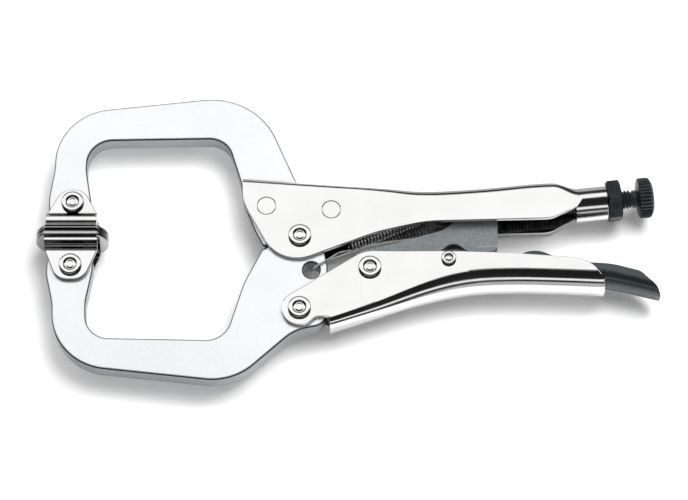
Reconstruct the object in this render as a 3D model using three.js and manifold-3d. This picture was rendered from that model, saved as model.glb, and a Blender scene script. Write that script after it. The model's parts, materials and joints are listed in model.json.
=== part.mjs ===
// C-clamp locking pliers with swivel pads: 280 mm long, drawn shut and locked, lying on the flat.
// Millimetres. +X runs from the pads to the adjusting knob, +Y from the movable to the fixed side,
// +Z up through the plates. Plan places are counted from the main pivot, in the mid plane of the plates.

import * as THREE from 'three';
import { mergeVertices } from 'three/addons/utils/BufferGeometryUtils.js';
import Module from 'manifold-3d';

const wasm = await Module();
wasm.setup();

// ---- overall sizes ----
const throatDepth = 101.8; // main pivot to the pad rivets, along -X
const throatHalf = 48.4; // main pivot line to the inner edge of either arm
const gripLength = 137.7; // main pivot to the back of the fixed handle's barrel, along +X
const leverReach = 161; // main pivot to the tip of the release lever, along +X
const drawnGrip = 137.7; // the grip length that the fixed handle's curve is drawn for
const drawnReach = 161; // the lever reach that the lower curves are drawn for

// ---- plates and sheet ----
const jawPlate = 9.3; // thickness of both forged jaws
const sheet = 2.0; // handle sheet
const padSheet = 1.95; // swivel pad sheet
const leverSheet = 1.6; // release lever sheet
const linkPlate = 8.0; // toggle link thickness
const gripHalf = 9.7; // half of the fixed handle's grip width
const lowerGripHalf = 9.3; // half of the movable handle's grip width

// ---- arms ----
const tipBoss = 10.9; // pad rivet to the arm's end and to its outer edge
const upperTipInner = 8.0; // pad rivet to the arm's edge on the throat side
const lowerTipInner = 9.8;
const armOuterTip = 12.6; // arm depth above the throat at the front corner
const armOuterRoot = 19.6; // the same at the back corner
const jawEdge = 0.9; // bevel on the plates' edges

// ---- pivots and fasteners ----
const jawPivotDrop = 34.4; // main pivot down to the handle pivot
const linkPivot = [31.2, -15.2];
const leverPivot = [66.1, -11.9];
const frontRivet = [-15.0, 14.5];
const backRivet = [14.0, 12.7];
const padPivot = 15.0; // pad rivet to the pad's clamping face
const contactPlane = 1.0; // height of the clamping faces over the main pivot
const pivotPin = 3.6; // radius of the three big rivets' shanks
const flushPin = 4.0; // radius of the two flush rivets
const padPin = 2.9; // radius of the pad rivets' shanks
const leverPin = 2.1; // radius of the lever rivet's shank
const pivotHead = 5.1; // radius of a big rivet's head
const padHead = 5.0;
const leverHead = 3.3;
const headHeight = 1.5;

// ---- clearances ----
const pinGap = 0.1; // round a pin that turns or is set in a hole
const sideGap = 0.3; // between stacked plates
const headGap = 0.2; // under a rivet's head
const swingGap = 0.8; // between the two jaws where they meet in plan
const padGap = 0.3; // between the two clamping faces, shut
const leverGap = 1.1; // release lever to the inside of the handle's closed side, to let it tip
const tipClearance = 2.4; // screw tip to the link, which is the linkage's open pivot

// ---- pads ----
const padRadius = 16.3;
const padDisc = 2.2; // thickness of the disc
const earRoot = 13.0; // half width over the folds
// an ear's width, its clamping face to where it turns flat and to its end, and that end's half width and radius
const upperEar = { width: 22.6, fold: 10.2, top: 21.6, endHalf: 4.6, endRadius: 8 };
const lowerEar = { width: 23.6, fold: 8.2, top: 21.8, endHalf: 6.0, endRadius: 7 };

// ---- adjusting screw ----
const screwSlope = THREE.MathUtils.degToRad(6.2);
const barrelBackRise = 19.4; // height of the screw axis at the barrel's back
const barrelRadius = 8.35;
const barrelLength = 14.5;
const threadRadius = 4.4;
const threadGap = 0.3;
const neckRadius = 4.0;
const neckLength = 2.8;
const nutFlats = 17.0;
const nutHeight = 6.1;
const threadBehindNut = 4.6;
const knobRadius = 9.1;
const knobLength = 6.0;
const knobDome = 1.4;
const knobStub = 3.2; // radius of the screw's end that the knob is pressed on

// ---- spring ----
const wire = 1.1;
const coilRadius = 3.3;
const coilTurns = 15;
const springStart = [22.6, -1.2];
const springEnd = [56.5, 13.2];
const hookHole = [5.2, -15.6];
const hookHoleRadius = 3.7;
const anchorTab = [65.0, 16.2];
const tabWidth = 5.0;

// ---- worked out from the sizes above ----
const up = new THREE.Vector3(0, 0, 1);
const flangeIn = jawPlate / 2 + sideGap;
const flangeOut = flangeIn + sheet;
const tipX = -throatDepth;
const upperPin = [tipX, contactPlane + padPivot];
const lowerPin = [tipX, contactPlane - padPivot];
const handlePin = [0, -jawPivotDrop];
const lugRadius = 11.0;
const legBack = [0.2, 22.7]; // where the fixed jaw's leg turns into its tang
const linkEnd = 88.4; // the link's bearing end, where the screw's tip points
const screwDir = new THREE.Vector2(Math.cos(screwSlope), Math.sin(screwSlope));
const barrelBack = new THREE.Vector2(gripLength, barrelBackRise);
const gripShift = gripLength - drawnGrip; // how far a longer grip moves what sits on its back end
const leverShift = leverReach - drawnReach;

const colours = {
  nickel: { color: 0xd9d9d6, roughness: 0.22, metalness: 1.0 },
  satin: { color: 0xdcdde0, roughness: 0.45, metalness: 0.6 },
  darkLink: { color: 0x6b7477, roughness: 0.7, metalness: 0.4 },
  blackOxide: { color: 0x25272a, roughness: 0.5, metalness: 0.5 },
  springBlack: { color: 0x2a2b2d, roughness: 0.4, metalness: 0.7 },
};

// ======== small tools ========

// A closed outline from corners [x, y, radius], with each corner rounded by an arc.
// Arcs that would run into each other along an edge share the edge's length.
function rounded(corners) {
  const count = corners.length;
  const at = (i) => corners[(i + count) % count];
  const bends = corners.map(([x, y, radius], i) => {
    const corner = new THREE.Vector2(x, y);
    const back = new THREE.Vector2(at(i - 1)[0], at(i - 1)[1]).sub(corner);
    const ahead = new THREE.Vector2(at(i + 1)[0], at(i + 1)[1]).sub(corner);
    const edge = ahead.length();
    back.normalize();
    ahead.normalize();
    const half = Math.acos(THREE.MathUtils.clamp(back.dot(ahead), -1, 1)) / 2;
    return { corner, back, ahead, edge, half, tangent: radius / Math.tan(half) };
  });
  const share = bends.map(({ edge, tangent }, i) => {
    const both = tangent + bends[(i + 1) % count].tangent;
    return both > edge ? (0.999 * edge) / both : 1;
  });
  const points = bends.flatMap(({ corner, back, ahead, half, tangent }, i) => {
    const length = tangent * Math.min(share[i], share[(i + count - 1) % count]);
    if (length < 0.02) return [corner];
    const toCentre = back.clone().add(ahead).normalize();
    const centre = corner.clone().addScaledVector(toCentre, length / Math.cos(half));
    const first = corner.clone().addScaledVector(back, length).sub(centre);
    const turn = (Math.PI - 2 * half) * -Math.sign(back.cross(ahead));
    const steps = Math.max(2, Math.ceil(Math.abs(turn) / 0.27));
    const origin = new THREE.Vector2();
    return Array.from({ length: steps + 1 }, (_, k) => (
      first.clone().rotateAround(origin, (turn * k) / steps).add(centre)
    ));
  });
  return points.filter((p, i) => p.distanceTo(points[(i + 1) % points.length]) > 0.02);
}

function circle(x, y, radius, sides = 24) {
  const points = [];
  for (let i = 0; i < sides; i += 1) {
    const angle = (2 * Math.PI * i) / sides;
    points.push(new THREE.Vector2(x + radius * Math.cos(angle), y + radius * Math.sin(angle)));
  }
  return points;
}

// A flat plate centred on z = 0, with holes and an optional bevelled edge.
function plate(outline, thickness, holes = [], bevel = 0) {
  const shape = new THREE.Shape(outline);
  for (const hole of holes) shape.holes.push(new THREE.Path(hole));
  const geometry = new THREE.ExtrudeGeometry(shape, {
    depth: thickness - 2 * bevel,
    bevelEnabled: bevel > 0,
    bevelThickness: bevel,
    bevelSize: bevel,
    bevelOffset: -bevel,
    bevelSegments: 1,
  });
  return geometry.translate(0, 0, bevel - thickness / 2);
}

// A turned piece: the profile [radius, height] runs from the axis back to the axis, and turns about Z.
function turned(profile, sides = 24) {
  const points = profile.map(([r, h]) => new THREE.Vector2(r, h));
  return new THREE.LatheGeometry(points, sides).rotateX(Math.PI / 2);
}

// A ring about Z with a bore right through.
function ring(outer, inner, low, high, sides = 28) {
  const section = [[inner, low], [outer, low], [outer, high], [inner, high], [inner, low]];
  return turned(section, sides);
}

function shaft(x, y, radius, half, sides = 24) {
  return plate(circle(x, y, radius, sides), 2 * half);
}

function solid(geometry) {
  const bare = geometry.clone();
  bare.deleteAttribute('normal');
  bare.deleteAttribute('uv');
  const merged = mergeVertices(bare, 1e-4);
  const corners = merged.index.array;
  const used = [];
  for (let i = 0; i < corners.length; i += 3) {
    const [a, b, c] = [corners[i], corners[i + 1], corners[i + 2]];
    if (a !== b && b !== c && c !== a) used.push(a, b, c);
  }
  const mesh = new wasm.Mesh({
    numProp: 3,
    vertProperties: new Float32Array(merged.attributes.position.array),
    triVerts: new Uint32Array(used),
  });
  return new wasm.Manifold(mesh);
}

function geometryOf(manifold) {
  const mesh = manifold.getMesh();
  const geometry = new THREE.BufferGeometry();
  geometry.setAttribute('position', new THREE.BufferAttribute(mesh.vertProperties.slice(), 3));
  geometry.setIndex(new THREE.BufferAttribute(mesh.triVerts.slice(), 1));
  return geometry;
}

function cut(base, ...tools) {
  return tools.reduce((rest, tool) => rest.subtract(solid(tool)), base);
}

// A closed skin through a row of sections that all have the same number of points.
function loft(sections) {
  const count = sections[0].length;
  const places = sections.flat().flatMap((p) => [p.x, p.y, p.z]);
  const faces = [];
  for (let s = 0; s + 1 < sections.length; s += 1) {
    for (let i = 0; i < count; i += 1) {
      const j = (i + 1) % count;
      const a = s * count + i;
      const b = s * count + j;
      faces.push(b, a, a + count, b, a + count, b + count);
    }
  }
  const flat = sections[0].map((p) => new THREE.Vector2(p.z, p.y));
  const last = (sections.length - 1) * count;
  for (const [a, b, c] of THREE.ShapeUtils.triangulateShape(flat, [])) {
    faces.push(a, b, c, last + c, last + b, last + a);
  }
  const geometry = new THREE.BufferGeometry();
  geometry.setAttribute('position', new THREE.Float32BufferAttribute(places, 3));
  geometry.setIndex(faces);
  return geometry;
}

// A channel's section at x: a folded sheet with its closed side at `closed` and its lips at `lips`.
// Both handles and the lever are such channels; the closed side may face up or down.
function channelSection(x, closed, lips, half, bend, thickness) {
  const side = Math.sign(closed - lips);
  const outer = [];
  const inner = [];
  const innerBend = Math.max(bend - thickness, 0.4);
  const steps = 4;
  for (const hand of [1, -1]) {
    const outerRow = [new THREE.Vector3(x, lips, hand * half)];
    const innerRow = [new THREE.Vector3(x, lips, hand * (half - thickness))];
    for (let k = 0; k <= steps; k += 1) {
      const angle = (Math.PI / 2) * (k / steps);
      const reach = Math.cos(angle);
      const rise = Math.sin(angle);
      outerRow.push(new THREE.Vector3(
        x,
        closed - side * bend * (1 - rise),
        hand * (half - bend * (1 - reach)),
      ));
      innerRow.push(new THREE.Vector3(
        x,
        closed - side * (thickness + innerBend * (1 - rise)),
        hand * (half - thickness - innerBend * (1 - reach)),
      ));
    }
    outer.push(...(hand > 0 ? outerRow : outerRow.reverse()));
    inner.push(...(hand > 0 ? innerRow : innerRow.reverse()));
  }
  const points = [...outer, ...inner.reverse()];
  return side > 0 ? points : points.reverse();
}

const blend = (x, from, to) => THREE.MathUtils.smoothstep(x, from, to);
const mix = THREE.MathUtils.lerp;
const deck = new THREE.Group();

function place(name, geometry, look, position = [0, 0, 0], angle = 0) {
  const material = new THREE.MeshStandardMaterial(colours[look]);
  const mesh = new THREE.Mesh(geometry, material);
  mesh.name = name;
  mesh.position.set(...position);
  mesh.rotation.z = angle;
  deck.add(mesh);
}

// ======== jaws ========

function fixedJaw() {
  const outer = tipX - 8.4;
  const inner = tipX + 5.6;
  const outline = rounded([
    [tipX - tipBoss, upperPin[1] - tipBoss, tipBoss],
    [tipX - tipBoss, upperPin[1] + 4, 14],
    [outer - 0.6, upperPin[1] + 17, 20],
    [outer, throatHalf + armOuterTip - 0.1, 26],
    [-20.5, throatHalf + armOuterRoot + 3.0, 32],
    [legBack[0], legBack[1], 3],
    [21.4, 21.4, 3],
    [21.4, 6.5, 2],
    [12.5, 5.6, 1.5],
    ...lugArc(lugRadius + swingGap, 26, 192),
    [-16.2, -4.6, 1.6],
    [-20.2, 3.2, 30],
    [-25.6, 17.0, 30],
    [-26.6, 26.5, 20],
    [-33.4, throatHalf, 10.8],
    [inner - 0.2, throatHalf - 1.1, 11.5],
    [inner, upperPin[1] + 16, 20],
    [tipX + upperTipInner, upperPin[1] + 2, 12],
    [tipX + upperTipInner, upperPin[1] - tipBoss, upperTipInner],
  ]);
  const holes = [
    circle(...upperPin, padPin + pinGap),
    circle(...frontRivet, flushPin + pinGap),
    circle(...backRivet, flushPin + pinGap),
  ];
  return plate(outline, jawPlate, holes, jawEdge);
}

// Points on an arc about the main pivot, as sharp corners.
function lugArc(radius, fromDegrees, toDegrees) {
  const points = [];
  const steps = 11;
  for (let k = 0; k <= steps; k += 1) {
    const angle = THREE.MathUtils.degToRad(mix(fromDegrees, toDegrees, k / steps));
    points.push([radius * Math.cos(angle), radius * Math.sin(angle), 0]);
  }
  return points;
}

function movableJaw() {
  const outer = tipX - 7.0;
  const inner = tipX + 7.6;
  const outline = rounded([
    [tipX - tipBoss, lowerPin[1] + tipBoss, tipBoss],
    [tipX + lowerTipInner, lowerPin[1] + tipBoss, lowerTipInner],
    [tipX + lowerTipInner, lowerPin[1] - 2, 14],
    [inner - 0.5, lowerPin[1] - 17, 20],
    [inner + 0.2, -throatHalf + 1.0, 10.5],
    [-33.0, -throatHalf - 0.2, 11],
    [-24.8, -21.5, 40],
    [-16.9, -5.8, 1.6],
    ...lugArc(lugRadius, 194, -18),
    [12.4, -14.0, 3],
    [11.8, -41.4, 6],
    [-2.0, -44.0, 20],
    [-28.9, -throatHalf - armOuterRoot - 0.6, 27],
    [outer - 0.2, -throatHalf - armOuterTip + 1.2, 26.5],
    [outer - 0.8, lowerPin[1] - 18, 20],
    [tipX - tipBoss, lowerPin[1] - 4, 14],
  ]);
  const holes = [
    circle(...lowerPin, padPin + pinGap),
    circle(0, 0, pivotPin + pinGap),
    circle(...handlePin, pivotPin + pinGap),
    circle(...hookHole, hookHoleRadius, 24),
  ];
  return plate(outline, jawPlate, holes, jawEdge);
}

// ======== handles ========

const upperBack = new THREE.SplineCurve([
  new THREE.Vector2(-32, 29.0),
  new THREE.Vector2(9, 26.0),
  new THREE.Vector2(37, 24.1),
  new THREE.Vector2(52, 22.6),
  new THREE.Vector2(64, 22.6),
  new THREE.Vector2(84 + gripShift * 0.5, 24.0),
  new THREE.Vector2(103 + gripShift, 26.0),
  new THREE.Vector2(115 + gripShift, 26.6),
  new THREE.Vector2(124.5 + gripShift, 26.3),
  new THREE.Vector2(129 + gripShift, 26.75),
]);

function fixedHandle() {
  const grip = upperBack.getPoints(20);
  const squeezeFrom = 113 + gripShift;
  const squeezeTo = 124.5 + gripShift;
  const sections = grip.map(({ x, y }) => {
    const wide = mix(flangeOut, gripHalf, blend(x, 22, 58));
    const squeeze = blend(x, squeezeFrom, squeezeTo);
    const half = mix(wide, barrelRadius, squeeze);
    const bend = mix(mix(2.7, 4.6, blend(x, 22, 54)), barrelRadius - 0.2, squeeze);
    return channelSection(x, y, -14, half, bend, sheet);
  });
  const flanges = rounded([
    [-25.9, 34, 0],
    [-25.7, 16.5, 22],
    [-8.7, -15.0, 16.5],
    [33.0, 1.4, 60],
    [56.5, 5.9, 60],
    [112.5 + gripShift, 7.4, 12],
    [124.0 + gripShift, 13.6, 6],
    [128.0 + gripShift, 20.0, 0],
    [128.0 + gripShift, 34, 0],
  ]);
  const folded = solid(loft(sections)).intersect(solid(plate(flanges, 40)));
  const barrel = ring(barrelRadius, barrelRadius - sheet, -barrelLength, 0, 40);
  barrel.rotateY(Math.PI / 2).rotateZ(screwSlope).translate(barrelBack.x, barrelBack.y, 0);
  const bore = turned([[0, -30], [barrelRadius - sheet, -30], [barrelRadius - sheet, 2], [0, 2]], 40);
  bore.rotateY(Math.PI / 2).rotateZ(screwSlope).translate(barrelBack.x, barrelBack.y, 0);
  const tab = rounded([
    [anchorTab[0] - 3, anchorTab[1] - 2.8, 1.5],
    [anchorTab[0] + 3, anchorTab[1] - 2.8, 1.5],
    [anchorTab[0] + 3, anchorTab[1] + 5.4, 0],
    [anchorTab[0] - 3, anchorTab[1] + 5.4, 0],
  ]);
  const eye = circle(anchorTab[0], anchorTab[1], 1.5, 16);
  const slot = new THREE.BoxGeometry(60, 40, 2 * flangeIn);
  slot.translate(legBack[0] + 2 * sideGap - 30, legBack[1] + 10, 0);
  const body = folded.add(solid(barrel)).add(solid(plate(tab, tabWidth / 2, [eye])));
  return geometryOf(cut(
    body,
    bore,
    slot,
    shaft(0, 0, pivotPin + pinGap, 20),
    shaft(...frontRivet, flushPin + pinGap, 20),
    shaft(...backRivet, flushPin + pinGap, 20),
  ));
}

const lowerBack = new THREE.SplineCurve([
  new THREE.Vector2(8, -44.6),
  new THREE.Vector2(29, -37.8),
  new THREE.Vector2(55, -29.7),
  new THREE.Vector2(75, -25.5),
  new THREE.Vector2(93 + leverShift * 0.5, -24.4),
  new THREE.Vector2(113 + leverShift, -24.7),
  new THREE.Vector2(139 + leverShift, -25.7),
]);

function lowerHalf(x) {
  return mix(flangeOut, lowerGripHalf, blend(x, 34, 74));
}

function movableHandle() {
  const sections = lowerBack.getPoints(16).map(({ x, y }) => {
    const half = lowerHalf(x);
    const bend = mix(5.4, 8.2, blend(x, 30, 80));
    return channelSection(x, y, 2, half, bend, sheet);
  });
  const frontEdge = jawPivotDrop + 7.9;
  const flanges = rounded([
    [-7.9, -frontEdge, 7.9],
    [3.2, -frontEdge, 4],
    [7.4, -38.4, 3],
    [13.4, -38.4, 1.2],
    [13.4, -50, 0],
    [135.4 + leverShift, -50, 0],
    [135.4 + leverShift, -22.0, 6],
    [130.6 + leverShift, -14.2, 12],
    [123.5 + leverShift, -11.2, 14],
    [92.0 + leverShift * 0.5, -8.9, 120],
    [28.6, -7.0, 16],
    [-7.9, -30.2, 7.9],
  ]);
  const front = lowerBack.points[0].x;
  const cheeks = [1, -1].map((hand) => {
    const cheek = plate(rounded([
      [-12, -52, 0],
      [front + 2, -52, 0],
      [front + 2, 2, 0],
      [-12, 2, 0],
    ]), sheet);
    return solid(cheek.translate(0, 0, hand * (flangeIn + sheet / 2)));
  });
  const channel = solid(loft(sections)).add(cheeks[0]).add(cheeks[1]);
  return geometryOf(cut(
    channel.intersect(solid(plate(flanges, 40))),
    shaft(...handlePin, pivotPin + pinGap, 20),
    shaft(...linkPivot, pivotPin + pinGap, 20),
    shaft(...leverPivot, leverPin + pinGap, 20),
  ));
}

function toggleLink() {
  const [x, y] = linkPivot;
  const boss = 8.2;
  const outline = rounded([
    [x - boss, y - boss, boss],
    [x + 5.0, y - boss, 6],
    [57.0, -7.9, 8],
    [61.6, -7.4, 4],
    [68.4, -1.4, 5],
    [75.2, -6.8, 5],
    [linkEnd, -6.8, 4],
    [linkEnd, 19.4, 4],
    [80.0, 18.6, 6],
    [64.5, 4.2, 12],
    [41.0, -2.8, 14],
    [x - boss, y + boss, boss],
  ]);
  return plate(outline, linkPlate, [circle(x, y, pivotPin + pinGap)], 0.6);
}

// The lever's bottom follows the inside of the movable handle, then drops away as the tail.
function releaseLever() {
  const inside = sheet + leverGap;
  const back = new THREE.SplineCurve([
    new THREE.Vector2(59, -28.6 + inside),
    new THREE.Vector2(75, -25.5 + inside),
    new THREE.Vector2(93 + leverShift * 0.5, -24.4 + inside),
    new THREE.Vector2(113 + leverShift, -24.7 + inside),
    new THREE.Vector2(133 + leverShift, -25.3 + inside),
    new THREE.Vector2(147 + leverShift, -24.4),
    new THREE.Vector2(leverReach + 1, -28.1),
  ]);
  const tail = 130 + leverShift;
  const halfAt = (x) => lowerHalf(x) - sheet - sideGap;
  const sections = back.getPoints(14).map(({ x, y }) => {
    const half = halfAt(x);
    const bend = mix(half - 0.6, 5.0, blend(x, tail, leverReach));
    return channelSection(x, y, 2, half, bend, leverSheet);
  });
  const outline = rounded([
    [60.4, -40, 0],
    [leverReach, -40, 0],
    [leverReach, -29.5, 3],
    [leverReach - 2.8, -23.4, 8],
    [leverReach - 9.8, -16.7, 5],
    [139 + leverShift, -13.3, 40],
    [118 + leverShift, -12.0, 30],
    [104.5 + leverShift, -6.0, 14],
    [96 + leverShift * 0.5, -9.8, 20],
    [84, -9.6, 10],
    [leverPivot[0] + 4, -6.2, 4],
    [60.4, -7.2, 4],
  ]);
  const nose = plate(rounded([
    [76, -11.2, 0.6],
    [80, -11.2, 0.6],
    [80, -8.4, 0.6],
    [76, -8.4, 0.6],
  ]), 2 * halfAt(76) - leverSheet);
  const body = solid(loft(sections)).intersect(solid(plate(outline, 30))).add(solid(nose));
  return geometryOf(cut(body, shaft(...leverPivot, leverPin + pinGap, 20)));
}

// ======== rivets ========

// A rivet along Z with a stepped, dished head at both ends.
function rivet(pin, head, grip) {
  const seat = grip + headGap;
  const half = [
    [pin, seat],
    [head, seat],
    [head, seat + headHeight * 0.6],
    [head * 0.84, seat + headHeight],
    [head * 0.48, seat + headHeight],
    [0, seat + headHeight * 0.45],
  ];
  const lower = half.map(([r, h]) => [r, -h]).reverse();
  return turned([...lower, ...half], 24);
}

function flushRivet() {
  return turned([[0, -flangeOut], [flushPin, -flangeOut], [flushPin, flangeOut], [0, flangeOut]], 24);
}

// ======== pads ========

// One ear: a sheet folded up from the disc's edge and joggled in against the jaw.
function padEar(hand, { width, fold, top }) {
  const face = jawPlate / 2 + sideGap;
  const lineOut = [
    [earRoot - 3.2, padGap / 2],
    [earRoot - 0.9, padGap / 2 + 0.7],
    [earRoot, padGap / 2 + 2.4],
    [earRoot - 0.5, fold * 0.52],
    [earRoot - 2.6, fold * 0.69],
    [face + padSheet + 1.2, fold * 0.81],
    [face + padSheet, fold],
    [face + padSheet, top],
  ];
  const lineIn = [
    [face, top],
    [face, fold * 0.93],
    [face + 0.9, fold * 0.67],
    [earRoot - 4.2, fold * 0.51],
    [earRoot - padSheet - 0.3, fold * 0.39],
    [earRoot - 3.2, padDisc + padGap / 2],
  ];
  const section = [...lineOut, ...lineIn].map(([z, y]) => new THREE.Vector2(hand * z, y));
  const shape = new THREE.Shape(hand > 0 ? section : section.reverse());
  const strip = new THREE.ExtrudeGeometry(shape, { depth: width, bevelEnabled: false });
  strip.translate(0, 0, -width / 2).rotateY(-Math.PI / 2);
  return solid(strip);
}

// A stamped pad with its clamping face at y = 0, facing -Y, and its ears standing along +Y.
function swivelPad(ear) {
  const { width, fold, top, endHalf, endRadius } = ear;
  const profile = [
    [0, padGap / 2],
    [padRadius - 0.5, padGap / 2],
    [padRadius, padGap / 2 + 0.5],
    [padRadius, padGap / 2 + padDisc],
    [0, padGap / 2 + padDisc],
  ];
  const disc = turned(profile, 40).rotateX(-Math.PI / 2);
  const foldLine = Math.sqrt(padRadius ** 2 - (width / 2) ** 2);
  const trim = [1, -1].map((hand) => {
    const box = new THREE.BoxGeometry(width + 0.01, 20, 12);
    return box.translate(0, 0, hand * (foldLine - 0.6 + 6));
  });
  const plan = rounded([
    [-width / 2, -2, 0],
    [width / 2, -2, 0],
    [width / 2, fold - 0.8, 2],
    [endHalf, top, endRadius],
    [-endHalf, top, endRadius],
    [-width / 2, fold - 0.8, 2],
  ]);
  const ears = padEar(1, ear).add(padEar(-1, ear)).intersect(solid(plate(plan, 60)));
  const body = cut(solid(disc), ...trim).add(ears);
  return geometryOf(cut(body, shaft(0, padPivot, padPin + pinGap, 20)));
}

// ======== adjusting screw ========

// Turned pieces on the screw axis have z = 0 at the back of the barrel and z up along the screw.
function alongScrew(geometry) {
  return geometry.rotateY(Math.PI / 2).rotateZ(screwSlope).translate(barrelBack.x, barrelBack.y, 0);
}

const nutFrom = sideGap;
const nutTo = nutFrom + nutHeight;
const neckFrom = nutTo + threadBehindNut;
const knobFrom = neckFrom + neckLength;
const knobTo = knobFrom + knobLength + knobDome;
const bearing = (linkEnd - barrelBack.x) / screwDir.x;

function adjustingScrew() {
  const tip = bearing + tipClearance;
  return turned([
    [0, tip],
    [threadRadius * 0.5, tip + 0.4],
    [threadRadius * 0.86, tip + 1.7],
    [threadRadius, tip + 3.4],
    [threadRadius, neckFrom],
    [knobStub, neckFrom + 0.4],
    [knobStub, knobTo - 2],
    [0, knobTo - 2],
  ], 24);
}

function screwKnob() {
  const bore = knobStub + pinGap;
  return turned([
    [bore, neckFrom + 0.7],
    [neckRadius, neckFrom + 0.7],
    [neckRadius, knobFrom],
    [knobRadius, knobFrom + 1.2],
    [knobRadius, knobTo - knobDome],
    [knobRadius - 1.6, knobTo - 0.3],
    [0, knobTo],
    [0, knobTo - 1.7],
    [bore, knobTo - 1.7],
    [bore, neckFrom + 0.7],
  ], 36);
}

function lockNut() {
  const across = nutFlats / Math.sqrt(3);
  const hexagon = solid(plate(circle(0, 0, across, 6), nutHeight).translate(0, 0, nutFrom + nutHeight / 2));
  const crown = [
    [0, nutFrom],
    [across - 1.2, nutFrom],
    [across, nutFrom + 0.7],
    [across, nutTo - 0.7],
    [across - 1.2, nutTo],
    [0, nutTo],
  ];
  const nut = hexagon.intersect(solid(turned(crown, 36)));
  const hole = shaft(0, 0, threadRadius + threadGap, 30, 24);
  return geometryOf(cut(nut, hole)).rotateZ(THREE.MathUtils.degToRad(12));
}

function threadedBush() {
  return ring(barrelRadius - sheet - pinGap, threadRadius + threadGap, 0.4 - barrelLength, -0.2, 32);
}

// ======== spring ========

// The wire's middle line: a hook in the jaw's lug, the coil, and a hook in the handle's tab.
function springPath() {
  const start = new THREE.Vector3(...springStart, 0);
  const end = new THREE.Vector3(...springEnd, 0);
  const along = end.clone().sub(start);
  const across = new THREE.Vector3().crossVectors(up, along).normalize();
  const points = [
    new THREE.Vector3(hookHole[0], hookHole[1], -2.6),
    new THREE.Vector3(hookHole[0], hookHole[1], 1.2),
    new THREE.Vector3(hookHole[0] + 0.5, hookHole[1] + 0.3, 4.2),
    new THREE.Vector3(hookHole[0] + 2.6, hookHole[1] + 1.6, jawPlate / 2 + 1.05),
    new THREE.Vector3(hookHole[0] + 8.6, hookHole[1] + 5.6, jawPlate / 2 + 0.75),
    new THREE.Vector3(springStart[0] - 4.6, springStart[1] - 5.4, 3.4),
  ];
  const steps = coilTurns * 8;
  for (let k = 0; k <= steps; k += 1) {
    const turn = (2 * Math.PI * k) / 8;
    const centre = start.clone().addScaledVector(along, k / steps);
    const arm = across.clone().multiplyScalar(-Math.cos(turn) * coilRadius);
    points.push(centre.add(arm).addScaledVector(up, Math.sin(turn) * coilRadius));
  }
  points.push(
    new THREE.Vector3(springEnd[0] + 2.4, springEnd[1] - 1.6, 1.6),
    new THREE.Vector3(anchorTab[0] - 3.0, anchorTab[1] - 0.6, 2.4),
    new THREE.Vector3(anchorTab[0] - 0.4, anchorTab[1], 1.9),
    new THREE.Vector3(anchorTab[0], anchorTab[1], -1.6),
  );
  return new THREE.CatmullRomCurve3(points, false, 'centripetal');
}

function tensionSpring() {
  const path = springPath();
  return new THREE.ExtrudeGeometry(new THREE.Shape(circle(0, 0, wire / 2, 5)), {
    steps: coilTurns * 9 + 25,
    extrudePath: path,
    bevelEnabled: false,
  });
}

// ======== the assembly ========

place('fixed_handle', fixedHandle(), 'nickel');
place('fixed_jaw', fixedJaw(), 'satin');
place('front_jaw_rivet', flushRivet(), 'nickel', [...frontRivet, 0]);
place('back_jaw_rivet', flushRivet(), 'nickel', [...backRivet, 0]);
place('main_pivot_rivet', rivet(pivotPin, pivotHead, flangeOut), 'nickel');
place('threaded_bush', alongScrew(threadedBush()), 'blackOxide');
place('movable_jaw', movableJaw(), 'satin');
place('movable_handle', movableHandle(), 'nickel');
place('handle_pivot_rivet', rivet(pivotPin, pivotHead, flangeOut), 'nickel', [...handlePin, 0]);
place('link_rivet', rivet(pivotPin, pivotHead, flangeOut), 'nickel', [...linkPivot, 0]);
place('lever_rivet', rivet(leverPin, leverHead, lowerHalf(leverPivot[0])), 'nickel', [...leverPivot, 0]);
place('toggle_link', toggleLink(), 'darkLink');
place('release_lever', releaseLever(), 'blackOxide');
place('upper_swivel_pad', swivelPad(upperEar), 'nickel', [tipX, contactPlane, 0]);
place('lower_swivel_pad', swivelPad(lowerEar), 'nickel', [tipX, contactPlane, 0], Math.PI);
place('upper_pad_rivet', rivet(padPin, padHead, flangeOut), 'nickel', [...upperPin, 0]);
place('lower_pad_rivet', rivet(padPin, padHead, flangeOut), 'nickel', [...lowerPin, 0]);
place('adjusting_screw', alongScrew(adjustingScrew()), 'blackOxide');
place('screw_knob', alongScrew(screwKnob()), 'blackOxide');
place('lock_nut', alongScrew(lockNut()), 'blackOxide');
place('jaw_spring', tensionSpring(), 'springBlack');

// The origin is the middle of the bottom of the whole tool's box.
const box = new THREE.Box3().setFromObject(deck, true);
const middle = box.getCenter(new THREE.Vector3());
deck.position.set(-middle.x, -middle.y, -box.min.z);

const pliers = new THREE.Group();
pliers.add(deck);
pliers.updateMatrixWorld(true);

export default pliers;
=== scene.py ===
import json
import math

import bmesh
import bpy
from mathutils import Matrix, Vector


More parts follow.
